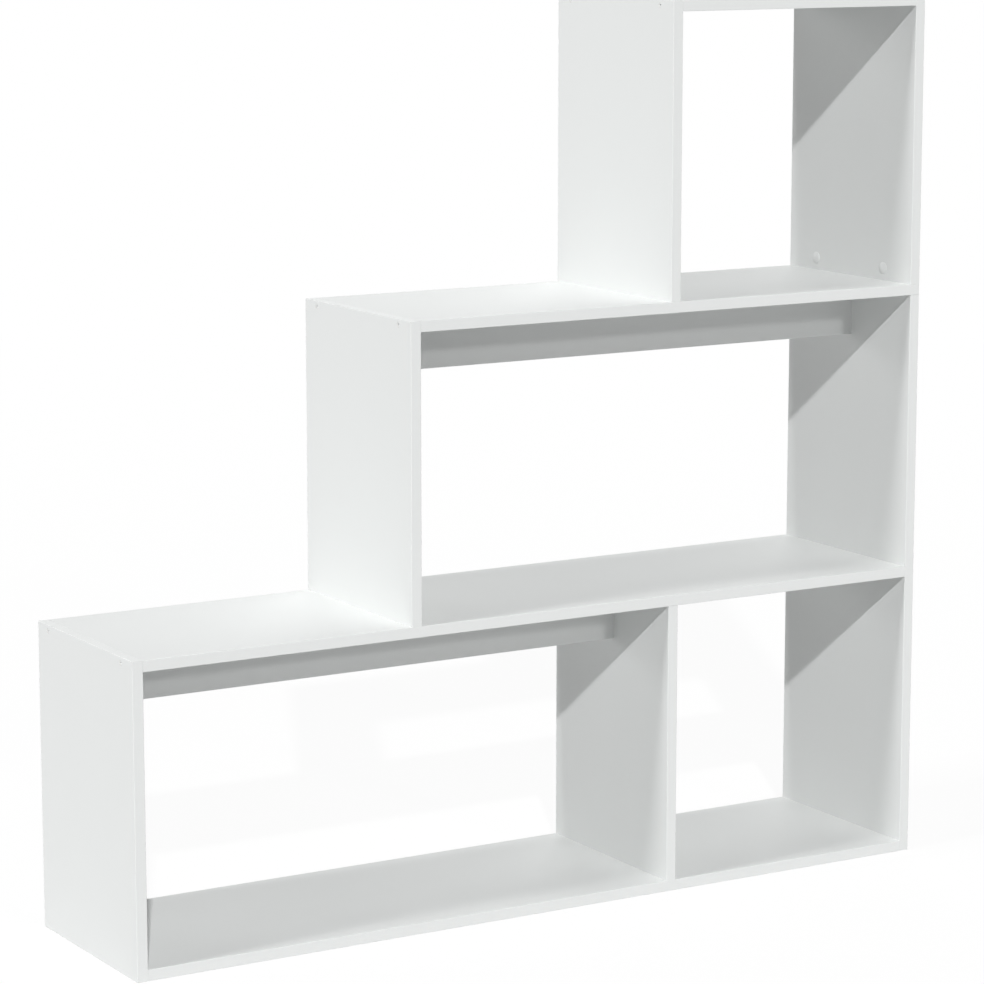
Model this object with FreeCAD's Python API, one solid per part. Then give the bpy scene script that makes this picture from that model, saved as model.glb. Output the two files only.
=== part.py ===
import FreeCAD, Part
import math
import os
from collections import namedtuple

# Stair-stepped room divider bookcase, open at the front and the back, flat-packed from white faced board.
# Millimetres. +Z is up, the front looks to -Y, and the origin is on the floor under the middle.

V = FreeCAD.Vector
X, Y, Z = V(1, 0, 0), V(0, 1, 0), V(0, 0, 1)

# The whole piece
tiers = 3
bay_width = 388.0
bay_height = 388.0
depth = 290.0
board = 15.0
rail_height = 70.0

# Edge strips
edging = 0.8
edge_round = 0.5

# Spacing of the fixings at a joint
outer_spacing = 224.0
inner_spacing = 160.0
hidden_spacing = 96.0
rail_spacing = 32.0

# Through-screw with a countersunk head and a hexagon socket
screw_length = 50.0
screw_head_radius = 3.5
screw_head_rim = 0.8
screw_head_cone = 1.2
screw_sink = 0.2
screw_radius = 2.5
screw_tip = 3.0
socket_width = 3.0
socket_depth = 2.4

# Wooden dowel
dowel_radius = 4.0
dowel_length = 30.0
dowel_in_face = 10.0
dowel_chamfer = 0.8
dowel_flutes = 12
flute_depth = 0.3

# Cam bolt, screwed into a face and hooked by the cam in the end of the next board
bolt_thread_radius = 3.0
bolt_thread_length = 10.0
bolt_collar_radius = 3.4
bolt_collar_height = 1.0
bolt_neck_radius = 2.0
bolt_head_radius = 3.2
bolt_head_steps = 6

# Cam lock
cam_radius = 7.4
cam_height = 11.8
cam_sink = 0.3
cam_setback = 17.0
cavity_radius = 4.9
cavity_offset = 1.0
slot_turn = 200.0
drive_width = 2.0
drive_length = 9.0
drive_depth = 2.4
drive_hole_radius = 2.2

# Cover cap that clips into the cam
cap_radius = 8.5
cap_rim = 0.5
cap_crown = 1.4
cap_crown_steps = 3
peg_length = 1.8

# Fits and cuts
fit = 0.1
end_play = 0.5
overrun = 1.0

# Places that follow from the driving dimensions
pitch_x = bay_width + board
pitch_z = bay_height + board
width = tiers * pitch_x + board


def upright_x(index):
    """Left face of an upright, counted from the left."""
    return index * pitch_x - width / 2


def level_z(index):
    """Underside of a level board, counted from the floor."""
    return index * pitch_z


def block(low, high):
    """A box between two corners."""
    size = high - low
    return Part.makeBox(size.x, size.y, size.z, low)


def turned(points):
    """A solid of revolution about Z from an outline of (radius, height) points."""
    outline = Part.makePolygon([V(r, 0, h) for r, h in points + points[:1]])
    return Part.Face(outline).revolve(V(0, 0, 0), Z, 360)


def arc_points(radius, centre, start, steps):
    """Outline points on a circle about a height on the axis, from an angle off the top up to the top."""
    angles = [start * (1 - step / steps) for step in range(steps + 1)]
    return [(radius * math.sin(angle), centre + radius * math.cos(angle)) for angle in angles]


# Boards: two corners of the finished board, and the sides that carry an edge strip
Board = namedtuple("Board", "low high edged")


def upright(index, bottom, top, edged=()):
    """An upright of full depth between two heights."""
    left = upright_x(index)
    return Board(V(left, -depth / 2, bottom), V(left + board, depth / 2, top), (-Y, Y) + edged)


def level(index, left, right, edged=()):
    """A level board of full depth between two places across the width."""
    under = level_z(index)
    return Board(V(left, -depth / 2, under), V(right, depth / 2, under + board), (-Y, Y) + edged)


def rail(index, left, right):
    """A stiffening rail on edge under a level board, half way back."""
    under = level_z(index)
    return Board(V(left, -board / 2, under - rail_height), V(right, board / 2, under), (-Z,))


def on_level(index):
    """Top of a level board."""
    return level_z(index) + board


def right_of(index):
    """Right face of an upright."""
    return upright_x(index) + board


boards = {
    "base_board": level(0, right_of(0), upright_x(3)),
    "lower_left_side": upright(0, level_z(0), on_level(1), (Z,)),
    "lower_divider": upright(2, on_level(0), level_z(1)),
    "lower_right_side": upright(3, level_z(0), level_z(2)),
    "lower_shelf": level(1, right_of(0), upright_x(3)),
    "lower_rail": rail(1, right_of(0), upright_x(2)),
    "middle_left_side": upright(1, on_level(1), on_level(2), (Z,)),
    "middle_shelf": level(2, right_of(1), right_of(3), (X,)),
    "middle_rail": rail(2, right_of(1), upright_x(3)),
    "upper_left_side": upright(2, on_level(2), on_level(3), (Z,)),
    "upper_right_side": upright(3, on_level(2), on_level(3), (Z,)),
    "top_board": level(3, right_of(2), upright_x(3)),
}


def long_way(size, outward):
    """Direction of a strip's length, square to the way that it faces."""
    ways = [way for way in (X, Y, Z) if way.dot(outward) == 0]
    return max(ways, key=size.dot)


def edge_strip(low, high, outward):
    """One strip of edging, rounded along the two long edges of the side that faces outward."""
    strip = block(low, high)
    along = long_way(high - low, outward)
    middle = strip.CenterOfMass
    rounded = [
        edge
        for edge in strip.Edges
        if (edge.CenterOfMass - middle).dot(outward) > 0
        and abs((edge.Vertexes[0].Point - edge.Vertexes[1].Point).dot(along)) > 0
    ]
    return strip.makeFillet(min(edge_round, edging), rounded)


def edged_board(piece):
    """The core of a board and its edge strips. Front and back strips cover the ends of the others."""
    low, high = V(piece.low), V(piece.high)
    strips = []
    for outward in piece.edged:
        strip_low, strip_high = V(low), V(high)
        if outward.x + outward.y + outward.z > 0:
            strip_low += outward * ((high - low).dot(outward) - edging)
            high -= outward * edging
        else:
            strip_high += outward * ((low - high).dot(outward) - edging)
            low -= outward * edging
        strips.append(edge_strip(strip_low, strip_high, outward))
    return block(low, high), strips


# Fixings. Each is drawn at the joint plane: Z runs into the end of one board, away from the face of the
# other, and X is the way that a cam looks. Cutters are the same shapes with a clearance.


def screw_body(grow, head_start, tip):
    """Outline of the through-screw, grown by a clearance."""
    head = screw_sink - board
    cone = head + screw_head_rim
    return turned([
        (0, head_start),
        (screw_head_radius + grow, head_start),
        (screw_head_radius + grow, cone),
        (screw_radius + grow, cone + screw_head_cone),
        (screw_radius + grow, tip - screw_tip),
        (0, tip),
    ])


def through_screw():
    """The screw with its hexagon socket."""
    head = screw_sink - board
    corner_radius = socket_width / math.sqrt(3)
    turns = [math.radians(60 * corner) for corner in range(7)]
    corners = [V(corner_radius * math.cos(turn), corner_radius * math.sin(turn), head) for turn in turns]
    socket = Part.Face(Part.makePolygon(corners)).extrude(Z * socket_depth)
    return screw_body(0, head, head + screw_length).cut(socket)


def screw_cutter():
    """Countersunk clearance through the face and the pilot in the end."""
    return screw_body(fit, -board - overrun, screw_sink - board + screw_length + end_play)


def fluted_outline(radius, height):
    """Cross-section of a dowel: ridges with a shallow flute between each two."""
    half_turns = range(2 * dowel_flutes + 1)
    corners = []
    for half_turn in half_turns:
        reach = radius - flute_depth * (half_turn % 2)
        angle = math.pi * half_turn / dowel_flutes
        corners.append(V(reach * math.cos(angle), reach * math.sin(angle), height))
    return Part.makePolygon(corners)


def dowel():
    """A fluted dowel across the joint, chamfered at both ends."""
    low, high = -dowel_in_face, dowel_length - dowel_in_face
    inner = dowel_radius - dowel_chamfer
    sections = [
        fluted_outline(inner, low),
        fluted_outline(dowel_radius, low + dowel_chamfer),
        fluted_outline(dowel_radius, high - dowel_chamfer),
        fluted_outline(inner, high),
    ]
    return Part.makeLoft(sections, True, True)


def dowel_cutter():
    """The two blind holes of a dowel as one."""
    start = V(0, 0, -dowel_in_face - end_play)
    return Part.makeCylinder(dowel_radius + fit, dowel_length + 2 * end_play, start, Z)


def cam_bolt():
    """Threaded end, collar, neck and ball head, which bears on the thick side of the cam's cavity."""
    ball_centre = cam_setback + cavity_offset - (cavity_radius - bolt_head_radius - fit)
    neck_angle = math.pi - math.asin(bolt_neck_radius / bolt_head_radius)
    return turned([
        (0, -bolt_thread_length),
        (bolt_thread_radius, -bolt_thread_length),
        (bolt_thread_radius, 0),
        (bolt_collar_radius, 0),
        (bolt_collar_radius, bolt_collar_height),
        (bolt_neck_radius, bolt_collar_height),
    ] + arc_points(bolt_head_radius, ball_centre, neck_angle, bolt_head_steps))


def cam_bolt_cutter():
    """Thread hole in the face and the way for the head in the end, as far as the cam."""
    passage = max(bolt_head_radius, bolt_collar_radius) + fit
    hole_floor = -bolt_thread_length - end_play
    hole = Part.makeCylinder(bolt_thread_radius + fit, overrun - hole_floor, V(0, 0, hole_floor), Z)
    return hole.fuse(Part.makeCylinder(passage, cam_setback, V(0, 0, 0), Z))


def cam_cutter():
    """The bore of a cam, from the face that it looks out of."""
    floor = board / 2 - cam_sink - cam_height - end_play
    start = V(floor, 0, cam_setback)
    return Part.makeCylinder(cam_radius + fit, board / 2 + overrun - floor, start, X)


def cam_lock():
    """A cam, turned shut: an eccentric hollow, a slot for the neck and a way in for the head."""
    face = board / 2 - cam_sink
    centre = V(0, 0, cam_setback)
    body = Part.makeCylinder(cam_radius, cam_height, centre + X * (face - cam_height), X)
    half_cavity = bolt_head_radius + end_play
    cavity_start = centre + Z * cavity_offset - X * half_cavity
    cavity = Part.makeCylinder(cavity_radius, 2 * half_cavity, cavity_start, X)
    half_slot = bolt_neck_radius + fit
    slot = Part.makeCylinder(cam_radius + overrun, 2 * half_slot, V(0, 0, 0), Z, slot_turn)
    slot.translate(V(0, 0, -half_slot))
    start_angle = math.degrees(math.asin(half_slot / (cavity_radius - cavity_offset)))
    slot.rotate(V(0, 0, 0), Z, -start_angle)
    slot.Placement = FreeCAD.Placement(centre, FreeCAD.Rotation(-Z, V(0, 0, 0), X, "ZXY")) * slot.Placement
    entry = Part.makeCylinder(bolt_head_radius + 2 * fit, cam_radius + overrun, centre, Z)
    drive = drive_recess(face).translated(centre)
    return body.cut([cavity, slot, entry, drive])


def drive_recess(face):
    """Cross slot and middle hole for a screwdriver, in the outer face of a cam."""
    floor = face - drive_depth
    reach = drive_depth + overrun
    hole = Part.makeCylinder(drive_hole_radius, reach, V(floor, 0, 0), X)
    bars = [
        block(V(floor, -along / 2, -across / 2), V(floor + reach, along / 2, across / 2))
        for along, across in ((drive_length, drive_width), (drive_width, drive_length))
    ]
    return hole.fuse(bars)


def cover_cap():
    """A thin crowned disc over the cam, with a peg into the middle of its drive."""
    peg_radius = drive_hole_radius - fit
    rise = cap_crown - cap_rim
    crown_radius = (cap_radius ** 2 + rise ** 2) / (2 * rise)
    shoulder_angle = math.asin(cap_radius / crown_radius)
    cap = turned([
        (0, -peg_length),
        (peg_radius, -peg_length),
        (peg_radius, 0),
        (cap_radius, 0),
    ] + arc_points(crown_radius, cap_crown - crown_radius, shoulder_angle, cap_crown_steps))
    turn = FreeCAD.Rotation(Z, V(0, 0, 0), X, "ZXY")
    cap.Placement = FreeCAD.Placement(V(board / 2, 0, cam_setback), turn)
    return cap


Fixing = namedtuple("Fixing", "pieces cutters")
cam_cutters = [cam_bolt_cutter(), cam_cutter()]
bare_cam_pieces = {"cams": cam_lock(), "cam_bolts": cam_bolt()}
fixings = {
    "screw": Fixing({"screws": through_screw()}, [screw_cutter()]),
    "dowel": Fixing({"dowels": dowel()}, [dowel_cutter()]),
    "cam": Fixing({**bare_cam_pieces, "cam_caps": cover_cap()}, cam_cutters),
    "bare_cam": Fixing(bare_cam_pieces, cam_cutters),
}

# Joints: the board met on its face, the board met on its end, a point of the joint, the way into the end,
# the way that the cams look, the line that the fixings are spread along, and what is set where on it
Joint = namedtuple("Joint", "group tier face end point into looks spread sets")


def pair(kind, spacing):
    """Two like fixings, one each side of the middle."""
    return [(kind, -spacing / 2), (kind, spacing / 2)]


screwed = pair("screw", outer_spacing) + pair("dowel", inner_spacing)
cammed = pair("cam", inner_spacing) + pair("dowel", outer_spacing)
underside = pair("bare_cam", inner_spacing) + pair("dowel", outer_spacing)
railed = [("cam", rail_spacing / 2), ("dowel", -rail_spacing / 2)]
mid = board / 2
rail_mid = rail_height / 2

joints = [
    Joint("lower_left", "lower", "lower_left_side", "lower_shelf",
          V(right_of(0), 0, level_z(1) + mid), X, Z, Y, screwed),
    Joint("lower_right", "lower", "lower_right_side", "lower_shelf",
          V(upright_x(3), 0, level_z(1) + mid), -X, Z, Y, screwed),
    Joint("divider_foot", "lower", "base_board", "lower_divider",
          V(upright_x(2) + mid, 0, on_level(0)), Z, X, Y, screwed),
    Joint("middle_left", "middle", "middle_left_side", "middle_shelf",
          V(right_of(1), 0, level_z(2) + mid), X, Z, Y, screwed),
    Joint("middle_right", "middle", "middle_shelf", "lower_right_side",
          V(upright_x(3) + mid, 0, level_z(2)), -Z, X, Y, pair("screw", hidden_spacing)),
    Joint("upper_left", "upper", "upper_left_side", "top_board",
          V(right_of(2), 0, level_z(3) + mid), X, Z, Y, screwed),
    Joint("upper_right", "upper", "upper_right_side", "top_board",
          V(upright_x(3), 0, level_z(3) + mid), -X, Z, Y, screwed),
    Joint("base", "lower", "lower_left_side", "base_board",
          V(right_of(0), 0, level_z(0) + mid), X, -Z, Y, underside),
    Joint("base", "lower", "lower_right_side", "base_board",
          V(upright_x(3), 0, level_z(0) + mid), -X, -Z, Y, underside),
    Joint("divider_head", "lower", "lower_shelf", "lower_divider",
          V(upright_x(2) + mid, 0, level_z(1)), -Z, X, Y, cammed),
    Joint("middle_left_foot", "middle", "lower_shelf", "middle_left_side",
          V(upright_x(1) + mid, 0, on_level(1)), Z, X, Y, cammed),
    Joint("upper_left_foot", "upper", "middle_shelf", "upper_left_side",
          V(upright_x(2) + mid, 0, on_level(2)), Z, X, Y, cammed),
    Joint("upper_right_foot", "upper", "middle_shelf", "upper_right_side",
          V(upright_x(3) + mid, 0, on_level(2)), Z, -X, Y, cammed),
    Joint("lower_rail", "lower", "lower_left_side", "lower_rail",
          V(right_of(0), 0, level_z(1) - rail_mid), X, Y, Z, railed),
    Joint("lower_rail", "lower", "lower_divider", "lower_rail",
          V(upright_x(2), 0, level_z(1) - rail_mid), -X, Y, Z, railed),
    Joint("middle_rail", "middle", "middle_left_side", "middle_rail",
          V(right_of(1), 0, level_z(2) - rail_mid), X, Y, Z, railed),
    Joint("middle_rail", "middle", "lower_right_side", "middle_rail",
          V(upright_x(3), 0, level_z(2) - rail_mid), -X, Y, Z, railed),
]


def fit_joints():
    """Solids of every fixing by node, and the cutters that each board needs."""
    solids, cutters = {}, {name: [] for name in boards}
    for joint in joints:
        turn = FreeCAD.Rotation(joint.looks, V(0, 0, 0), joint.into, "ZXY")
        for kind, offset in joint.sets:
            place = FreeCAD.Placement(joint.point + joint.spread * offset, turn).toMatrix()
            for piece, shape in fixings[kind].pieces.items():
                group = joint.tier if piece == "dowels" else joint.group
                solids.setdefault(f"{group}_{piece}", []).append(shape.transformed(place))
            for cutter in fixings[kind].cutters:
                for name in (joint.face, joint.end):
                    cutters[name].append(cutter.transformed(place))
    return solids, cutters


def write(node, solids):
    """One file for each node, its solids side by side."""
    shape = solids[0] if len(solids) == 1 else Part.makeCompound(solids)
    shape.exportStep(f"parts/{node}.step")


os.makedirs("parts", exist_ok=True)
fixing_solids, board_cutters = fit_joints()
for name, piece in boards.items():
    core, strips = edged_board(piece)
    write(name, core.cut(board_cutters[name]).Solids)
    write(f"{name}_edging", strips)
for node, solids in fixing_solids.items():
    write(node, [solid for shape in solids for solid in shape.Solids])
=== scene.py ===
"""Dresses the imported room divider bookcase: board faces, edge strips, fixings and a plain white studio."""
import math
from collections import namedtuple

import bmesh
import bpy
from bpy.props import FloatProperty, FloatVectorProperty, IntProperty, PointerProperty
from mathutils import Matrix, Vector


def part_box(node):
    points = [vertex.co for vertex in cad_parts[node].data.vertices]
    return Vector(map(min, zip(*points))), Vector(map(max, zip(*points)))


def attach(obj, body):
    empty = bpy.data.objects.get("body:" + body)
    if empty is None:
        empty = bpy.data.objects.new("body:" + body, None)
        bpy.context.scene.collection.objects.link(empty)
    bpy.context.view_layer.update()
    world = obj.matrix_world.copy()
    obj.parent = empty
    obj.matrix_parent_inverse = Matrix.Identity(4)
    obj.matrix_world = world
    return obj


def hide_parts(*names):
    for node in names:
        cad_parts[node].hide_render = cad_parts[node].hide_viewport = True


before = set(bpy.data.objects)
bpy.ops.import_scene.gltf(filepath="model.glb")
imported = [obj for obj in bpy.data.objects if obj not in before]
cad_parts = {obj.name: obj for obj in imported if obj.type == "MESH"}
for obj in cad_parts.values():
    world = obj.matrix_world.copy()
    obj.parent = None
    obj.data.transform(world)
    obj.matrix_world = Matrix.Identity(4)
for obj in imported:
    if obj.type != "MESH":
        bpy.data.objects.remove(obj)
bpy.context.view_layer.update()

bl_info = {
    "name": "Room divider bookcase",
    "version": (1, 0, 0),
    "blender": (4, 5, 0),
    "location": "View3D > Sidebar > Bookcase",
    "description": "Finishes the boards, edge strips and fixings of a stepped bookcase and sets up a studio",
    "category": "Object",
}

BODY = "root"
FULL_TURN = 2 * math.pi
UP = Vector((0, 0, 1))
NO_SHIFT = Vector((0, 0, 0))
WHITE = (1.0, 1.0, 1.0, 1.0)
SHARP = math.radians(35)
GRAIN = "grain"
HEXAGON = 6

# Metres: points closer than the first are merged, and a cut takes points closer than the second as on it
MERGE = 1e-6
CUT = 1e-7


# Settings that a user would change


def colour(name, description, default):
    """A colour property."""
    return FloatVectorProperty(
        name=name, description=description, subtype="COLOR", size=3, min=0, max=1, default=default)


def length(name, description, default):
    """A length property in metres."""
    return FloatProperty(
        name=name, description=description, unit="LENGTH", subtype="DISTANCE", min=0, precision=5,
        default=default)


def angle(name, description, degrees):
    """An angle property, with its default given in degrees."""
    return FloatProperty(
        name=name, description=description, unit="ROTATION", subtype="ANGLE",
        default=math.radians(degrees))


def share(name, description, default):
    """A property from nought to one."""
    return FloatProperty(
        name=name, description=description, subtype="FACTOR", min=0, max=1, default=default)


def count(name, description, default):
    """A whole number."""
    return IntProperty(name=name, description=description, min=3, default=default)


class BoardSettings(bpy.types.PropertyGroup):
    """Melamine faces and chipboard core of the boards."""
    main: colour("Face", "Colour of the melamine faces", (0.757, 0.770, 0.764))
    shade: colour("Face shade", "Colour of the faint clouds in the faces", (0.743, 0.757, 0.751))
    cloud_size: length("Clouds", "Size of the faint clouds in the faces", 0.25)
    pearl_size: length("Pearl size", "Size of the fine pearl grain pressed into the faces", 0.0006)
    pearl_depth: length("Pearl depth", "Depth of the fine pearl grain", 0.00001)
    roughness: share("Roughness", "Mean roughness of the faces", 0.64)
    skin: length("Facing", "Thickness of the melamine facing", 0.0002)
    chip: colour("Chip", "Colour of the pale chips in the core", (0.58, 0.42, 0.26))
    glue: colour("Glue", "Colour of the dark gaps between the chips", (0.27, 0.17, 0.09))
    chip_size: length("Chip size", "Size of the chips in the core", 0.0016)


class EdgeSettings(bpy.types.PropertyGroup):
    """Plastic strips on the edges of the boards."""
    main: colour("Strip", "Colour of the edge strips", (0.759, 0.772, 0.766))
    shade: colour("Strip shade", "Colour of the faint patches in the strips", (0.747, 0.761, 0.755))
    patch_size: length("Patches", "Size of the faint patches", 0.06)
    grain_size: length("Grain", "Size of the fine grain in the strips", 0.0005)
    grain_depth: length("Grain depth", "Depth of the fine grain", 0.000008)
    roughness: share("Roughness", "Mean roughness of the strips", 0.55)


class CapSettings(bpy.types.PropertyGroup):
    """Plastic caps over the cams."""
    crown: length("Crown", "Height of the whole disc above the board", 0.0014)
    rim: length("Rim", "Height of the upright rim of the disc", 0.0005)
    bore: length("Bore", "Radius of the hollow in the peg", 0.0012)
    edge_round: length("Edge round", "Rounding of the edges", 0.0002)
    crown_steps: count("Crown steps", "Steps from the middle of the crown to its rim", 8)
    turn_steps: count("Turn steps", "Steps round the cap", 64)
    main: colour("Cap", "Colour of the caps", (0.763, 0.775, 0.769))
    shade: colour("Cap shade", "Colour of the faint patches in the caps", (0.751, 0.764, 0.758))
    patch_size: length("Patches", "Size of the faint patches", 0.012)
    grain_size: length("Grain", "Size of the moulded grain", 0.0004)
    grain_depth: length("Grain depth", "Depth of the moulded grain", 0.000006)
    roughness: share("Roughness", "Mean roughness of the caps", 0.36)


class ScrewSettings(bpy.types.PropertyGroup):
    """Through-screws with a countersunk head, a smooth neck and a coarse thread."""
    rim: length("Rim", "Height of the upright rim of the head", 0.0008)
    cone: length("Countersink", "Height of the cone under the rim", 0.0012)
    shank_radius: length("Shank", "Radius of the smooth shank and of the thread's crest", 0.0025)
    shank_end: length("Shank end", "From the top of the head to the start of the thread", 0.012)
    core_radius: length("Core", "Radius at the root of the thread", 0.0018)
    pitch: length("Pitch", "Rise of the thread in one turn", 0.003)
    tip: length("Tip", "Length of the point", 0.003)
    socket_width: length("Socket", "Width of the hexagon socket across its flats", 0.003)
    socket_depth: length("Socket depth", "Depth of the socket's walls", 0.0022)
    drill_point: length("Drill point", "Depth of the cone in the floor of the socket", 0.0006)
    edge_round: length("Edge round", "Rounding of the head's edges", 0.00015)
    turn_steps: count("Turn steps", "Steps round the screw", 48)


class LacquerSettings(bpy.types.PropertyGroup):
    """White lacquer on the heads of the screws."""
    main: colour("Lacquer", "Colour of the lacquer", (0.757, 0.770, 0.764))
    shade: colour("Lacquer shade", "Colour of the faint patches in the lacquer", (0.738, 0.752, 0.746))
    patch_size: length("Patches", "Size of the faint patches", 0.004)
    grain_size: length("Grain", "Size of the ripples in the lacquer", 0.0003)
    grain_depth: length("Grain depth", "Depth of the ripples", 0.000006)
    roughness: share("Roughness", "Mean roughness of the lacquer", 0.35)


class BoltSettings(bpy.types.PropertyGroup):
    """Cam bolts with a threaded end, a collar, a neck and a ball."""
    thread_length: length("Thread", "Length of the threaded end", 0.010)
    crest_radius: length("Crest", "Radius at the crest of the thread", 0.003)
    core_radius: length("Core", "Radius at the root of the thread", 0.0021)
    pitch: length("Pitch", "Rise of the thread in one turn", 0.0018)
    lead: length("Lead", "Length of the tapered start of the thread", 0.0008)
    collar: length("Collar", "Height of the collar", 0.001)
    neck_radius: length("Neck", "Radius of the neck", 0.002)
    ball_radius: length("Ball", "Radius of the ball", 0.0032)
    ball_steps: count("Ball steps", "Steps from the neck to the end of the ball", 12)
    edge_round: length("Edge round", "Rounding of the collar's edges", 0.000075)
    turn_steps: count("Turn steps", "Steps round the bolt", 40)


class PlateSettings(bpy.types.PropertyGroup):
    """Bright zinc plate on screws and bolts."""
    main: colour("Plate", "Colour of the bright plate", (0.66, 0.67, 0.68))
    shade: colour("Plate shade", "Colour of the dull patches in the plate", (0.50, 0.52, 0.54))
    patch_size: length("Patches", "Size of the dull patches", 0.0015)
    grain_size: length("Grain", "Size of the fine grain", 0.0002)
    grain_depth: length("Grain depth", "Depth of the fine grain", 0.000003)
    roughness: share("Roughness", "Mean roughness of the plate", 0.32)


class CastSettings(bpy.types.PropertyGroup):
    """Die-cast zinc of the cams."""
    main: colour("Casting", "Colour of the casting", (0.56, 0.57, 0.58))
    shade: colour("Casting shade", "Colour of the dull patches in the casting", (0.38, 0.39, 0.40))
    patch_size: length("Patches", "Size of the dull patches", 0.003)
    grain_size: length("Grain", "Size of the pits in the casting", 0.0005)
    grain_depth: length("Grain depth", "Depth of the pits", 0.00002)
    roughness: share("Roughness", "Mean roughness of the casting", 0.48)


class DowelSettings(bpy.types.PropertyGroup):
    """Fluted beech dowels."""
    flutes: count("Flutes", "Flutes round the dowel", 12)
    flute_depth: length("Flute depth", "Depth of a flute", 0.0003)
    chamfer: length("Chamfer", "Chamfer at both ends", 0.0008)
    pale: colour("Beech", "Colour of the pale wood", (0.66, 0.47, 0.29))
    dark: colour("Fibres", "Colour of the darker fibres", (0.50, 0.33, 0.18))
    fleck: colour("Flecks", "Colour of the short flecks", (0.36, 0.21, 0.10))
    fibre_width: length("Fibre width", "Width of a bundle of fibres", 0.0008)
    fibre_length: length("Fibre length", "Length of a bundle of fibres", 0.012)
    fleck_width: length("Fleck width", "Width of a fleck", 0.0004)
    fleck_length: length("Fleck length", "Length of a fleck", 0.001)
    fibre_depth: length("Fibre depth", "Depth of the grooves between the fibres", 0.00003)
    roughness: share("Roughness", "Mean roughness of the wood", 0.7)


class StageSettings(bpy.types.PropertyGroup):
    """Camera, lamps and floor."""
    azimuth: angle("Camera azimuth", "Turn of the camera round the bookcase, from straight in front", -30.84)
    elevation: angle("Camera elevation", "Height of the camera above the horizon", 9.937)
    distance: length("Camera distance", "From the camera to the point that it looks at", 4.868)
    aim: FloatVectorProperty(
        name="Aim", description="Point that the camera looks at", subtype="XYZ", unit="LENGTH", size=3,
        default=(-0.0052, -0.0077, 0.5590))
    lens: FloatProperty(
        name="Lens", description="Focal length in millimetres", subtype="DISTANCE_CAMERA", unit="CAMERA",
        min=1, default=130.68)
    ambient: FloatProperty(
        name="Ambient", description="Strength of the light from all round", min=0, default=0.075)
    floor_size: length("Floor radius", "Radius of the round floor", 14.0)
    floor_sides: count("Floor sides", "Sides of the round floor", 96)
    floor_gap: length("Floor gap", "Gap that keeps the floor out of the base board's plane", 0.0003)
    floor_tone: colour("Floor tone", "Colour of the floor in the light that it throws back", (0.6, 0.6, 0.6))
    floor_veil: share("Floor veil", "Share of plain white that pales the shadow on the floor", 0.93)
    fade_start: length("Fade start", "Distance from the middle at which the shadow begins to fade", 1.0)
    fade_end: length("Fade end", "Distance from the middle at which the floor is plain white", 6.0)


class BookcaseSettings(bpy.types.PropertyGroup):
    """All settings of the bookcase."""
    boards: PointerProperty(type=BoardSettings)
    edges: PointerProperty(type=EdgeSettings)
    caps: PointerProperty(type=CapSettings)
    screws: PointerProperty(type=ScrewSettings)
    lacquer: PointerProperty(type=LacquerSettings)
    bolts: PointerProperty(type=BoltSettings)
    plate: PointerProperty(type=PlateSettings)
    castings: PointerProperty(type=CastSettings)
    dowels: PointerProperty(type=DowelSettings)
    stage: PointerProperty(type=StageSettings)


# Lamps: where the light comes from, its strength and its spread, with all angles in degrees
Lamp = namedtuple("Lamp", "azimuth elevation strength spread")
LAMPS = {
    "front_left_lamp": Lamp(-26.1, 34.1, 2.34, 1.5),
    "front_right_lamp": Lamp(6.8, 18.6, 0.4, 4.0),
    "left_soft_lamp": Lamp(-86.0, 41.0, 1.04, 6.8),
    "left_back_lamp": Lamp(-92.5, 41.0, 0.45, 2.6),
    "back_left_lamp": Lamp(-150.0, 12.0, 0.43, 20.0),
    "back_right_lamp": Lamp(150.0, 40.0, 0.31, 20.0),
}


# Nodes of the frame


def nodes_like(ending):
    """Names of the frame's nodes with an ending, in a fixed order."""
    return sorted(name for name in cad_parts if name.endswith(ending))


def board_nodes():
    """The boards are the nodes that carry edge strips."""
    return [name.removesuffix("_edging") for name in nodes_like("_edging")]


def dress(node, finish):
    """Gives a node of the frame its finish."""
    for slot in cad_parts[node].material_slots:
        slot.material = finish


# A fixing of the frame: where a shape drawn up Z from its wide end goes, and the sizes that it takes
Fixing = namedtuple("Fixing", "place radius reach tip_radius")

SORTING_DECIMALS = 4


def middle_of(points):
    """Mean of some points, rounded so that it sorts the same way on every run."""
    sums = [sum(point[k] for point in points) for k in range(3)]
    return tuple(round(total / len(points), SORTING_DECIMALS) for total in sums)


def islands(node):
    """Points of each separate solid in a node, in a fixed order."""
    shape = bmesh.new()
    shape.from_mesh(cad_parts[node].data)
    bmesh.ops.remove_doubles(shape, verts=shape.verts, dist=MERGE)
    found = []
    reached = set()
    for first in shape.verts:
        if first in reached:
            continue
        reached.add(first)
        island = [first]
        for vert in island:
            for link in vert.link_edges:
                other = link.other_vert(vert)
                if other not in reached:
                    reached.add(other)
                    island.append(other)
        found.append([vert.co.copy() for vert in island])
    shape.free()
    return sorted(found, key=middle_of)


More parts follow.
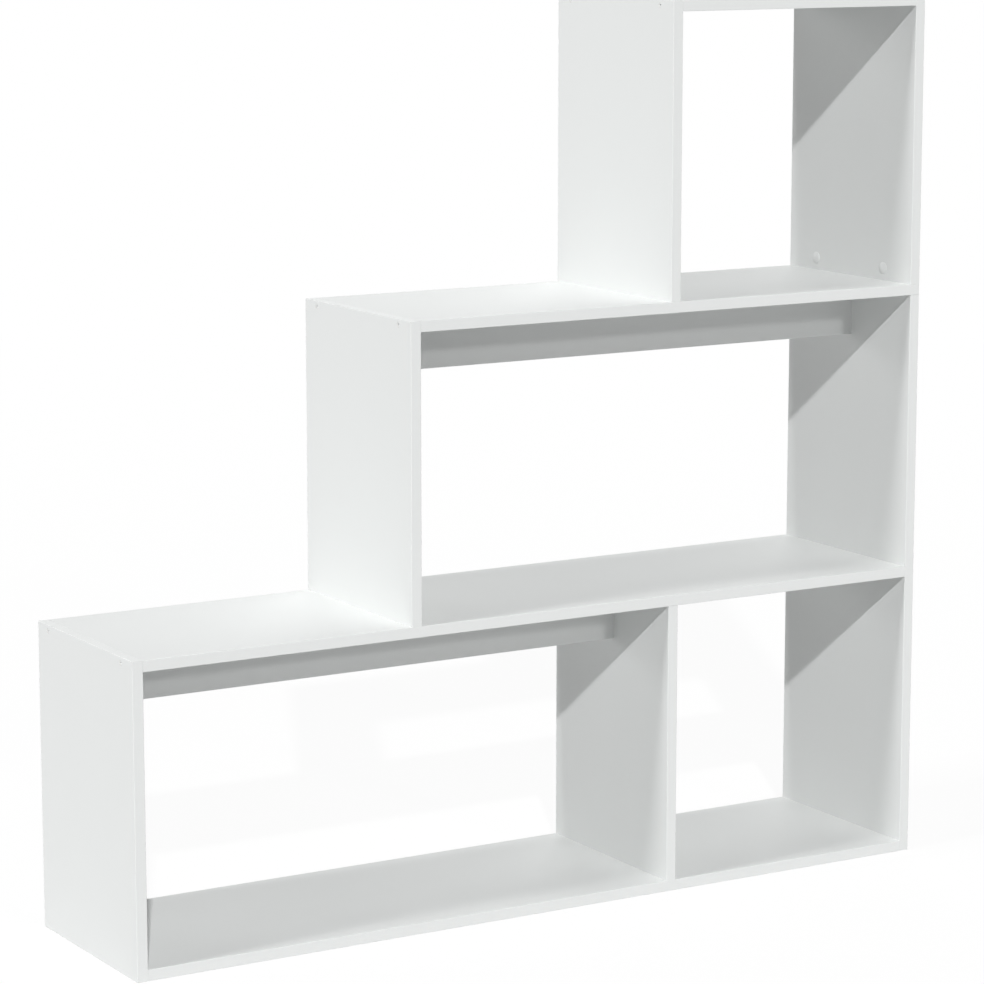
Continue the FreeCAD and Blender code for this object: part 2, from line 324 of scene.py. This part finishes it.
def fixings_of(node, choose):
    """The fixings of a node. choose is max if their axis is their longest way, and min if their shortest."""
    found = []
    for points in islands(node):
        low = Vector(min(p[k] for p in points) for k in range(3))
        high = Vector(max(p[k] for p in points) for k in range(3))
        middle, size = (low + high) / 2, high - low
        along = choose(range(3), key=lambda k: size[k])
        way = Vector(float(k == along) for k in range(3))

        def off_axis(point):
            """Distance of a point from the fixing's axis."""
            arm = point - middle
            return (arm - way * arm.dot(way)).length

        widest = max(points, key=off_axis)
        if high[along] - widest[along] < widest[along] - low[along]:
            way = -way
        reach = size[along]
        start = middle - way * reach / 2
        tip = start + way * reach
        tip_radius = max(off_axis(p) for p in points if abs((p - tip).dot(way)) < MERGE)
        turn = UP.rotation_difference(way).to_matrix().to_4x4()
        found.append(Fixing(Matrix.Translation(start) @ turn, off_axis(widest), reach, tip_radius))
    return found


# Shapes. Each fixing is drawn about Z, from its wide end at nought to its far end


def arc(radius, centre, start, end, steps):
    """Outline points on a circle about a height on the axis, between two angles from its lowest point."""
    angles = [start + (end - start) * step / steps for step in range(steps + 1)]
    return [(radius * math.sin(turn), centre - radius * math.cos(turn)) for turn in angles]


def draw_chain(shape, points):
    """Vertices joined by edges, one after the other."""
    chain = [shape.verts.new(point) for point in points]
    return chain + [shape.edges.new(pair) for pair in zip(chain, chain[1:])]


def turned(points, steps):
    """An outline of (radius, height) points turned about Z. Points on the axis close to poles."""
    shape = bmesh.new()
    chain = draw_chain(shape, [(radius, 0, height) for radius, height in points])
    bmesh.ops.spin(
        shape, geom=chain, cent=NO_SHIFT, axis=UP, dvec=NO_SHIFT, angle=FULL_TURN, steps=steps,
        use_merge=True)
    bmesh.ops.remove_doubles(shape, verts=shape.verts, dist=MERGE)
    bmesh.ops.recalc_face_normals(shape, faces=shape.faces)
    return shape


def sharp_edges(shape):
    """Edges whose faces meet at a sharp angle."""
    return [edge for edge in shape.edges if edge.is_manifold and edge.calc_face_angle() > SHARP]


def round_edges(shape, offset, segments=3):
    """Rounds the sharp edges of a shape."""
    bmesh.ops.bevel(
        shape, geom=sharp_edges(shape), offset=offset, offset_type="OFFSET", affect="EDGES",
        segments=segments, profile=0.5, material=-1, clamp_overlap=True)
    return shape


def smooth_shading(shape):
    """Shades a shape smooth, with hard lines along its sharp edges."""
    for face in shape.faces:
        face.smooth = True
    for edge in sharp_edges(shape):
        edge.smooth = False
    return shape


def joined(shapes):
    """One shape from several, which are used up."""
    whole = bmesh.new()
    for shape in shapes:
        carrier = bpy.data.meshes.new("carrier")
        shape.to_mesh(carrier)
        shape.free()
        whole.from_mesh(carrier)
        bpy.data.meshes.remove(carrier)
    return whole


def open_edges(shape, height):
    """Edges at a height with a face on one side only."""
    return [
        edge for edge in shape.edges
        if edge.is_boundary and all(abs(vert.co.z - height) < MERGE for vert in edge.verts)
    ]


def bridge(shape, *heights):
    """Closes the gap between two open rims."""
    rims = [edge for height in heights for edge in open_edges(shape, height)]
    bmesh.ops.bridge_loops(shape, edges=rims)


# One turn of a thread: shares of the pitch, and shares of the way from the root to the crest
THREAD_SHARES = ((0, 0), (0.30, 0), (0.60, 1), (0.70, 1), (1, 0))

# Turns drawn before a thread's start and cut off there, and the share of the pitch in which it runs out
SPARE_TURNS = 2
RUN_OUT = 0.25


def thread(core, crest, pitch, start, end, steps):
    """A helical thread between two heights, cut off square and open at both."""
    shape = bmesh.new()
    low = start - SPARE_TURNS * pitch
    chain = draw_chain(shape, [
        (core + (crest - core) * rise, 0, low + pitch * along) for along, rise in THREAD_SHARES])
    bmesh.ops.spin(
        shape, geom=chain, cent=NO_SHIFT, axis=UP, dvec=UP * pitch / steps, angle=FULL_TURN, steps=steps)
    first_turn = shape.verts[:] + shape.edges[:] + shape.faces[:]
    for number in range(1, math.ceil((end - low) / pitch) + 1):
        copied = bmesh.ops.duplicate(shape, geom=first_turn)["geom"]
        raised = [entry for entry in copied if isinstance(entry, bmesh.types.BMVert)]
        bmesh.ops.translate(shape, verts=raised, vec=UP * pitch * number)
    bmesh.ops.remove_doubles(shape, verts=shape.verts, dist=MERGE)
    for height, outward in ((start, -UP), (end, UP)):
        bmesh.ops.bisect_plane(
            shape, geom=shape.verts[:] + shape.edges[:] + shape.faces[:], dist=CUT,
            plane_co=UP * height, plane_no=outward, clear_outer=True)
    return shape


def closed(shape):
    """Merges what meets, turns every face outwards and shades the shape."""
    bmesh.ops.remove_doubles(shape, verts=shape.verts, dist=MERGE)
    bmesh.ops.recalc_face_normals(shape, faces=shape.faces)
    return smooth_shading(shape)


def cap_shape(fixing, settings):
    """A crowned disc with a rounded rim, on a hollow peg that clips into the cam."""
    rise = settings.crown - settings.rim
    bow = (fixing.radius ** 2 + rise ** 2) / (2 * rise)
    slope = math.asin(fixing.radius / bow)
    shape = turned(arc(bow, bow, 0, slope, settings.crown_steps) + [
        (fixing.radius, settings.crown),
        (fixing.tip_radius, settings.crown),
        (fixing.tip_radius, fixing.reach),
        (settings.bore, fixing.reach),
        (settings.bore, settings.crown),
        (0, settings.crown),
    ], settings.turn_steps)
    return smooth_shading(round_edges(shape, settings.edge_round))


def carried_on(shape, rim):
    """Extrudes a rim of edges, and gives the new rim and its vertices."""
    made = bmesh.ops.extrude_edge_only(shape, edges=rim)["geom"]
    edges = [entry for entry in made if isinstance(entry, bmesh.types.BMEdge)]
    return edges, [entry for entry in made if isinstance(entry, bmesh.types.BMVert)]


def sink_socket(shape, width, depth, point):
    """Carries the round rim at height nought on into a hexagon socket with a drilled floor."""
    side = FULL_TURN / HEXAGON
    rim, corners = carried_on(shape, open_edges(shape, 0))
    for vert in corners:
        turn = (math.atan2(vert.co.y, vert.co.x) + side / 2) % side - side / 2
        vert.co.xy = vert.co.xy.normalized() * width / 2 / math.cos(turn)
    for drop in (depth, point):
        rim, lowered = carried_on(shape, rim)
        bmesh.ops.translate(shape, verts=lowered, vec=UP * drop)
    bmesh.ops.pointmerge(shape, verts=lowered, merge_co=UP * (depth + point))


def screw_shape(fixing, settings):
    """A countersunk head with a hexagon socket, a smooth shank, a coarse thread and a point."""
    steps = settings.turn_steps
    flat_radius = (fixing.radius + settings.socket_width / 2) / 2
    head = round_edges(turned([
        (flat_radius, 0),
        (fixing.radius, 0),
        (fixing.radius, settings.rim),
        (settings.shank_radius, settings.rim + settings.cone),
        (settings.shank_radius, settings.shank_end),
    ], steps), settings.edge_round, segments=2)
    sink_socket(head, settings.socket_width, settings.socket_depth, settings.drill_point)
    run_out = settings.pitch * RUN_OUT
    thread_start = settings.shank_end + run_out
    tip_start = fixing.reach - settings.tip
    thread_end = tip_start - run_out
    shape = joined([
        head,
        thread(settings.core_radius, settings.shank_radius, settings.pitch, thread_start, thread_end, steps),
        turned([(settings.core_radius, tip_start), (0, fixing.reach)], steps),
    ])
    bridge(shape, settings.shank_end, thread_start)
    bridge(shape, thread_end, tip_start)
    return closed(shape)


def bolt_shape(fixing, settings):
    """A threaded end, a collar that stops it at the face, a neck and a ball for the cam."""
    steps = settings.turn_steps
    collar_start = settings.thread_length
    collar_end = collar_start + settings.collar
    ball_centre = fixing.reach - settings.ball_radius
    neck_turn = math.asin(settings.neck_radius / settings.ball_radius)
    run_out = settings.pitch * RUN_OUT
    rounding_room = 2 * settings.edge_round
    thread_start = settings.lead + run_out
    root_end = collar_start - rounding_room
    thread_end = root_end - run_out
    ball = arc(settings.ball_radius, ball_centre, neck_turn, math.pi, settings.ball_steps)
    head = round_edges(turned([
        (settings.core_radius, root_end),
        (settings.core_radius, collar_start),
        (fixing.radius, collar_start),
        (fixing.radius, collar_end),
        (settings.neck_radius, collar_end),
    ] + ball, steps), settings.edge_round, segments=2)
    lead_radius = settings.neck_radius - settings.lead
    shape = joined([
        turned([(0, 0), (lead_radius, 0), (settings.core_radius, settings.lead)], steps),
        thread(settings.core_radius, settings.crest_radius, settings.pitch, thread_start, thread_end, steps),
        head,
    ])
    bridge(shape, settings.lead, thread_start)
    bridge(shape, thread_end, root_end)
    return closed(shape)


# One flute of a dowel: shares of its width, and shares of its depth
FLUTE_SHARES = ((0, 0), (0.45, 0), (0.58, 0.75), (0.725, 1), (0.87, 0.75), (1, 0))


def dowel_shape(fixing, settings):
    """A fluted dowel with chamfered ends."""
    shape = bmesh.new()
    width = FULL_TURN / settings.flutes
    flute = draw_chain(shape, [
        Matrix.Rotation(width * across, 3, UP) @ Vector((fixing.radius - settings.flute_depth * dip, 0, 0))
        for across, dip in FLUTE_SHARES])
    bmesh.ops.spin(
        shape, geom=flute, cent=NO_SHIFT, axis=UP, dvec=NO_SHIFT, angle=FULL_TURN - width,
        steps=settings.flutes - 1, use_duplicate=True)
    bmesh.ops.remove_doubles(shape, verts=shape.verts, dist=MERGE)
    drawn_in = 1 - settings.chamfer / fixing.radius
    bmesh.ops.scale(shape, vec=(drawn_in, drawn_in, 1), verts=shape.verts[:])
    rim = shape.edges[:]
    for rise, grow in (
            (settings.chamfer, 1 / drawn_in),
            (fixing.reach - 2 * settings.chamfer, 1),
            (settings.chamfer, drawn_in)):
        rim, raised = carried_on(shape, rim)
        bmesh.ops.scale(shape, vec=(grow, grow, 1), verts=raised)
        bmesh.ops.translate(shape, vec=UP * rise, verts=raised)
    bmesh.ops.holes_fill(shape, edges=shape.edges[:])
    return closed(shape)


# Step of the grain from one fixing to the next, in lengths of the fixing
GRAIN_STEP = 2


def set_out(pattern, fixings):
    """One shape with a copy of a pattern at every place. The grain attribute keeps the pattern's places."""
    shapes = []
    for number, fixing in enumerate(fixings):
        one = pattern.copy()
        grain = one.verts.layers.float_vector.new(GRAIN)
        for vert in one.verts:
            vert[grain] = vert.co + UP * fixing.reach * GRAIN_STEP * number
        one.transform(fixing.place)
        shapes.append(one)
    return joined(shapes)


def add_piece(name, shape, finishes, node):
    """Makes a piece that rides with the bookcase and stands for a node of the frame."""
    mesh = bpy.data.meshes.new(name)
    shape.to_mesh(mesh)
    shape.free()
    for finish in finishes:
        mesh.materials.append(finish)
    piece = bpy.data.objects.new(name, mesh)
    bpy.context.scene.collection.objects.link(piece)
    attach(piece, BODY)
    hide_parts(node)


def add_fixings(name, ending, choose, make, finishes):
    """Makes every fixing of a kind to one pattern, as one piece for each node of the frame."""
    places = {node: fixings_of(node, choose) for node in nodes_like(ending)}
    pattern = make(next(iter(places.values()))[0])
    for node, fixings in places.items():
        add_piece(f"{name}_{node}", set_out(pattern, fixings), finishes, node)
    pattern.free()


# Finishes


def add_node(tree, kind, inputs=None, **settings):
    """Adds a shader node. An input that is a socket is linked, and any other is set as a value."""
    made = tree.nodes.new(kind)
    for setting, value in settings.items():
        setattr(made, setting, value)
    for name, value in (inputs or {}).items():
        if isinstance(value, bpy.types.NodeSocket):
            tree.links.new(value, made.inputs[name])
        else:
            made.inputs[name].default_value = value
    return made


def new_finish(name):
    """An empty material and its node tree."""
    finish = bpy.data.materials.new(name)
    finish.use_nodes = True
    finish.node_tree.nodes.clear()
    return finish, finish.node_tree


def object_places(tree):
    """Places on the piece in the bookcase's own frame."""
    return add_node(tree, "ShaderNodeTexCoord").outputs["Object"]


def show(tree, shader):
    """Joins a shader to the material's output."""
    add_node(tree, "ShaderNodeOutputMaterial", {"Surface": shader})


def rgba(rgb):
    """A colour with full alpha."""
    return (*rgb, 1.0)


def noise(tree, places, size, detail=2.0, stretch=(1.0, 1.0, 1.0)):
    """Soft noise with features of a size, from nought to one."""
    mapped = add_node(tree, "ShaderNodeMapping", {"Vector": places, "Scale": stretch})
    made = add_node(
        tree, "ShaderNodeTexNoise", {"Vector": mapped.outputs["Vector"], "Scale": 1 / size, "Detail": detail})
    return made.outputs["Fac"]


def between(tree, fac, low, high):
    """Runs from a low value to a high one with a noise."""
    made = add_node(tree, "ShaderNodeMapRange", {"Value": fac, "To Min": low, "To Max": high})
    return made.outputs["Result"]


def calculate(tree, operation, first, second=0.0):
    """Result of an operation on one or two numbers, each a value or a socket."""
    return add_node(tree, "ShaderNodeMath", {0: first, 1: second}, operation=operation).outputs[0]


def mix_colours(tree, fac, first, second):
    """Mixes two colours, each a value or a socket."""
    made = add_node(tree, "ShaderNodeMix", data_type="RGBA")
    for name, value in (("Factor_Float", fac), ("A_Color", first), ("B_Color", second)):
        socket = next(entry for entry in made.inputs if entry.identifier == name)
        if isinstance(value, bpy.types.NodeSocket):
            tree.links.new(value, socket)
        else:
            socket.default_value = value
    return next(entry for entry in made.outputs if entry.identifier == "Result_Color")


def bump(tree, height, depth):
    """Raises a surface by a height from nought to one."""
    made = add_node(tree, "ShaderNodeBump", {"Height": height, "Distance": depth, "Strength": 1.0})
    return made.outputs["Normal"]


ROUGHNESS_SPREAD = 0.05


def patchy_roughness(tree, fac, roughness):
    """A roughness that varies a little over the surface."""
    return between(tree, fac, roughness - ROUGHNESS_SPREAD, roughness + ROUGHNESS_SPREAD)


def faced_board_finish(node, settings):
    """White melamine on the two faces of a board, and chipboard wherever it is cut or drilled."""
    finish, tree = new_finish(f"faced_board_{node}")
    places = object_places(tree)
    low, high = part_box(node)
    size = high - low
    thin = min(range(3), key=lambda k: size[k])
    split = add_node(tree, "ShaderNodeSeparateXYZ", {"Vector": places})
    off_middle = calculate(tree, "SUBTRACT", split.outputs[thin], (low[thin] + high[thin]) / 2)
    depth = calculate(tree, "ABSOLUTE", off_middle)
    on_face = calculate(tree, "GREATER_THAN", depth, size[thin] / 2 - settings.skin)

    cloud = noise(tree, places, settings.cloud_size)
    face = mix_colours(tree, cloud, rgba(settings.main), rgba(settings.shade))
    chips = add_node(tree, "ShaderNodeTexVoronoi", {"Vector": places, "Scale": 1 / settings.chip_size})
    core = mix_colours(tree, chips.outputs["Distance"], rgba(settings.chip), rgba(settings.glue))
    pearl = noise(tree, places, settings.pearl_size)
    shader = add_node(tree, "ShaderNodeBsdfPrincipled", {
        "Base Color": mix_colours(tree, on_face, core, face),
        "Roughness": patchy_roughness(tree, cloud, settings.roughness),
        "Normal": bump(tree, pearl, settings.pearl_depth),
    })
    show(tree, shader.outputs["BSDF"])
    return finish


def surface_finish(name, settings, metallic=0.0):
    """Plastic, lacquer or metal with faint patches of a second shade and a fine grain."""
    finish, tree = new_finish(name)
    places = object_places(tree)
    patch = noise(tree, places, settings.patch_size, detail=3.0)
    grain = noise(tree, places, settings.grain_size)
    shader = add_node(tree, "ShaderNodeBsdfPrincipled", {
        "Base Color": mix_colours(tree, patch, rgba(settings.main), rgba(settings.shade)),
        "Metallic": metallic,
        "Roughness": patchy_roughness(tree, patch, settings.roughness),
        "Normal": bump(tree, grain, settings.grain_depth),
    })
    show(tree, shader.outputs["BSDF"])
    return finish


# Levels of a noise at which a fleck begins and at which it is full
FLECK_START = 0.62
FLECK_FULL = 0.72


def fibrous_noise(tree, places, width, span, detail=2.0):
    """Soft noise whose features have a width across the wood and a span along it."""
    return noise(tree, places, width, detail=detail, stretch=(1.0, 1.0, width / span))


def beech_finish(settings):
    """Beech with fibres along the dowel and short dark flecks."""
    finish, tree = new_finish("beech")
    grain = add_node(tree, "ShaderNodeAttribute", attribute_name=GRAIN).outputs["Vector"]
    fibre = fibrous_noise(tree, grain, settings.fibre_width, settings.fibre_length, detail=4.0)
    fleck = fibrous_noise(tree, grain, settings.fleck_width, settings.fleck_length)
    wood = mix_colours(tree, fibre, rgba(settings.pale), rgba(settings.dark))
    spot = add_node(
        tree, "ShaderNodeMapRange", {"Value": fleck, "From Min": FLECK_START, "From Max": FLECK_FULL})
    shader = add_node(tree, "ShaderNodeBsdfPrincipled", {
        "Base Color": mix_colours(tree, spot.outputs["Result"], wood, rgba(settings.fleck)),
        "Roughness": patchy_roughness(tree, fibre, settings.roughness),
        "Normal": bump(tree, fibre, settings.fibre_depth),
    })
    show(tree, shader.outputs["BSDF"])
    return finish


# Operators


class BOOKCASE_OT_face_boards(bpy.types.Operator):
    """Give every board its melamine faces and chipboard core"""
    bl_idname = "bookcase.face_boards"
    bl_label = "Face the boards"

    def execute(self, context):
        settings = context.scene.bookcase.boards
        for node in board_nodes():
            dress(node, faced_board_finish(node, settings))
        return {"FINISHED"}


class BOOKCASE_OT_finish_edges(bpy.types.Operator):
    """Give every edge strip its plastic finish"""
    bl_idname = "bookcase.finish_edges"
    bl_label = "Finish the edge strips"

    def execute(self, context):
        finish = surface_finish("edge_strip_plastic", context.scene.bookcase.edges)
        for node in nodes_like("_edging"):
            dress(node, finish)
        return {"FINISHED"}


class BOOKCASE_OT_cast_cams(bpy.types.Operator):
    """Give every cam its die-cast finish"""
    bl_idname = "bookcase.cast_cams"
    bl_label = "Cast the cams"

    def execute(self, context):
        finish = surface_finish("cast_zinc", context.scene.bookcase.castings, metallic=1.0)
        for node in nodes_like("_cams"):
            dress(node, finish)
        return {"FINISHED"}


class BOOKCASE_OT_mould_caps(bpy.types.Operator):
    """Mould the caps that cover the cams"""
    bl_idname = "bookcase.mould_caps"
    bl_label = "Mould the caps"

    def execute(self, context):
        settings = context.scene.bookcase.caps
        finish = surface_finish("cap_plastic", settings)
        add_fixings(
            "moulded", "_cam_caps", min, lambda fixing: cap_shape(fixing, settings), [finish])
        return {"FINISHED"}


class BOOKCASE_OT_thread_screws(bpy.types.Operator):
    """Make the through-screws, with white lacquer on their heads"""
    bl_idname = "bookcase.thread_screws"
    bl_label = "Thread the screws"

    def execute(self, context):
        settings = context.scene.bookcase.screws
        plate = surface_finish("screw_zinc_plate", context.scene.bookcase.plate, metallic=1.0)
        lacquer = surface_finish("screw_head_lacquer", context.scene.bookcase.lacquer)

        def lacquered_screw(fixing):
            """A screw whose head takes the second finish."""
            shape = screw_shape(fixing, settings)
            for face in shape.faces:
                face.material_index = int(face.calc_center_median().z < settings.rim + settings.cone)
            return shape

        add_fixings("threaded", "_screws", max, lacquered_screw, [plate, lacquer])
        return {"FINISHED"}


class BOOKCASE_OT_thread_bolts(bpy.types.Operator):
    """Make the bolts that the cams pull on"""
    bl_idname = "bookcase.thread_bolts"
    bl_label = "Thread the cam bolts"

    def execute(self, context):
        settings = context.scene.bookcase.bolts
        finish = surface_finish("bolt_zinc_plate", context.scene.bookcase.plate, metallic=1.0)
        add_fixings(
            "threaded", "_cam_bolts", max, lambda fixing: bolt_shape(fixing, settings), [finish])
        return {"FINISHED"}


class BOOKCASE_OT_flute_dowels(bpy.types.Operator):
    """Make the fluted dowels"""
    bl_idname = "bookcase.flute_dowels"
    bl_label = "Flute the dowels"

    def execute(self, context):
        settings = context.scene.bookcase.dowels
        finish = beech_finish(settings)
        add_fixings(
            "fluted", "_dowels", max, lambda fixing: dowel_shape(fixing, settings), [finish])
        return {"FINISHED"}


def direction(azimuth, elevation):
    """Unit vector towards a place round the bookcase. Azimuth nought is straight in front of it."""
    return Vector((
        math.sin(azimuth) * math.cos(elevation),
        -math.cos(azimuth) * math.cos(elevation),
        math.sin(elevation),
    ))


def seen_directly(tree):
    """One on the rays that show a background: camera, glossy and transmission rays."""
    path = add_node(tree, "ShaderNodeLightPath").outputs
    seen_or_mirrored = calculate(tree, "MAXIMUM", path["Is Camera Ray"], path["Is Glossy Ray"])
    return calculate(tree, "MAXIMUM", seen_or_mirrored, path["Is Transmission Ray"])


class BOOKCASE_OT_set_stage(bpy.types.Operator):
    """Set up the camera, the lamps, the floor and the white surroundings"""
    bl_idname = "bookcase.set_stage"
    bl_label = "Set the stage"

    def execute(self, context):
        settings = context.scene.bookcase.stage
        self.place_camera(context, settings)
        self.hang_lamps(context)
        self.lay_floor(context, settings)
        self.light_world(context, settings)
        context.scene.view_settings.view_transform = "Standard"
        return {"FINISHED"}

    def place_camera(self, context, settings):
        """Stands the camera off from the point that it looks at."""
        camera = bpy.data.objects.new("camera", bpy.data.cameras.new("camera"))
        camera.data.lens = settings.lens
        towards = direction(settings.azimuth, settings.elevation)
        camera.location = Vector(settings.aim) + towards * settings.distance
        camera.rotation_euler = towards.to_track_quat("Z", "Y").to_euler()
        context.scene.collection.objects.link(camera)
        context.scene.camera = camera

    def hang_lamps(self, context):
        """Turns each lamp so that its light comes from its own side."""
        for name, lamp in LAMPS.items():
            data = bpy.data.lights.new(name, "SUN")
            data.energy = lamp.strength
            data.angle = math.radians(lamp.spread)
            hung = bpy.data.objects.new(name, data)
            towards = direction(math.radians(lamp.azimuth), math.radians(lamp.elevation))
            hung.rotation_euler = towards.to_track_quat("Z", "Y").to_euler()
            context.scene.collection.objects.link(hung)

    def lay_floor(self, context, settings):
        """White to the eye, with a paled shadow, and a middling tone in the light that it throws back."""
        finish, tree = new_finish("pale_floor")
        seen = seen_directly(tree)
        tone = mix_colours(tree, seen, rgba(settings.floor_tone), WHITE)
        paint = add_node(tree, "ShaderNodeBsdfDiffuse", {"Color": tone})
        veil = add_node(tree, "ShaderNodeEmission", {"Color": WHITE, "Strength": 1.0})
        far = add_node(tree, "ShaderNodeVectorMath", {0: object_places(tree)}, operation="LENGTH")
        thickness = add_node(tree, "ShaderNodeMapRange", {
            "Value": far.outputs["Value"],
            "From Min": settings.fade_start,
            "From Max": settings.fade_end,
            "To Min": settings.floor_veil,
            "To Max": 1.0,
        }, interpolation_type="SMOOTHSTEP")
        mixed = add_node(tree, "ShaderNodeMixShader", {
            "Fac": calculate(tree, "MULTIPLY", thickness.outputs["Result"], seen),
            1: paint.outputs["BSDF"],
            2: veil.outputs["Emission"],
        })
        show(tree, mixed.outputs["Shader"])
        shape = bmesh.new()
        bmesh.ops.create_circle(
            shape, cap_ends=True, radius=settings.floor_size, segments=settings.floor_sides,
            matrix=Matrix.Translation(-UP * settings.floor_gap))
        mesh = bpy.data.meshes.new("floor")
        shape.to_mesh(mesh)
        shape.free()
        mesh.materials.append(finish)
        floor = bpy.data.objects.new("floor", mesh)
        context.scene.collection.objects.link(floor)

    def light_world(self, context, settings):
        """White to the eye, with a weak even light on the bookcase."""
        world = bpy.data.worlds.new("white_surroundings")
        world.use_nodes = True
        tree = world.node_tree
        tree.nodes.clear()
        ambient = add_node(tree, "ShaderNodeBackground", {"Color": WHITE, "Strength": settings.ambient})
        white = add_node(tree, "ShaderNodeBackground", {"Color": WHITE, "Strength": 1.0})
        mixed = add_node(tree, "ShaderNodeMixShader", {
            "Fac": seen_directly(tree), 1: ambient.outputs["Background"], 2: white.outputs["Background"]})
        add_node(tree, "ShaderNodeOutputWorld", {"Surface": mixed.outputs["Shader"]})
        context.scene.world = world


class BOOKCASE_PT_panel(bpy.types.Panel):
    """Steps that dress the bookcase, and their settings"""
    bl_label = "Bookcase"
    bl_idname = "BOOKCASE_PT_panel"
    bl_space_type = "VIEW_3D"
    bl_region_type = "UI"
    bl_category = "Bookcase"

    def draw(self, context):
        """Lists the steps, and then each group of settings."""
        for step in STEPS:
            self.layout.operator(step.bl_idname)
        for group in BookcaseSettings.__annotations__:
            settings = getattr(context.scene.bookcase, group)
            box = self.layout.box()
            box.label(text=group.capitalize())
            for name in type(settings).__annotations__:
                box.prop(settings, name)


SETTINGS = (
    BoardSettings, EdgeSettings, CapSettings, ScrewSettings, LacquerSettings, BoltSettings, PlateSettings,
    CastSettings, DowelSettings, StageSettings, BookcaseSettings,
)
STEPS = (
    BOOKCASE_OT_face_boards, BOOKCASE_OT_finish_edges, BOOKCASE_OT_cast_cams, BOOKCASE_OT_mould_caps,
    BOOKCASE_OT_thread_screws, BOOKCASE_OT_thread_bolts, BOOKCASE_OT_flute_dowels, BOOKCASE_OT_set_stage,
)
CLASSES = SETTINGS + STEPS + (BOOKCASE_PT_panel,)


def register():
    """Registers the classes and gives every scene its settings."""
    for entry in CLASSES:
        bpy.utils.register_class(entry)
    bpy.types.Scene.bookcase = PointerProperty(type=BookcaseSettings)


def unregister():
    """Takes the settings and the classes away again."""
    del bpy.types.Scene.bookcase
    for entry in reversed(CLASSES):
        bpy.utils.unregister_class(entry)


def main():
    """Registers the add-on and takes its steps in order."""
    register()
    bpy.ops.bookcase.face_boards()
    bpy.ops.bookcase.finish_edges()
    bpy.ops.bookcase.cast_cams()
    bpy.ops.bookcase.mould_caps()
    bpy.ops.bookcase.thread_screws()
    bpy.ops.bookcase.thread_bolts()
    bpy.ops.bookcase.flute_dowels()
    bpy.ops.bookcase.set_stage()
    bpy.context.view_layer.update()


if __name__ == "__main__":
    main()
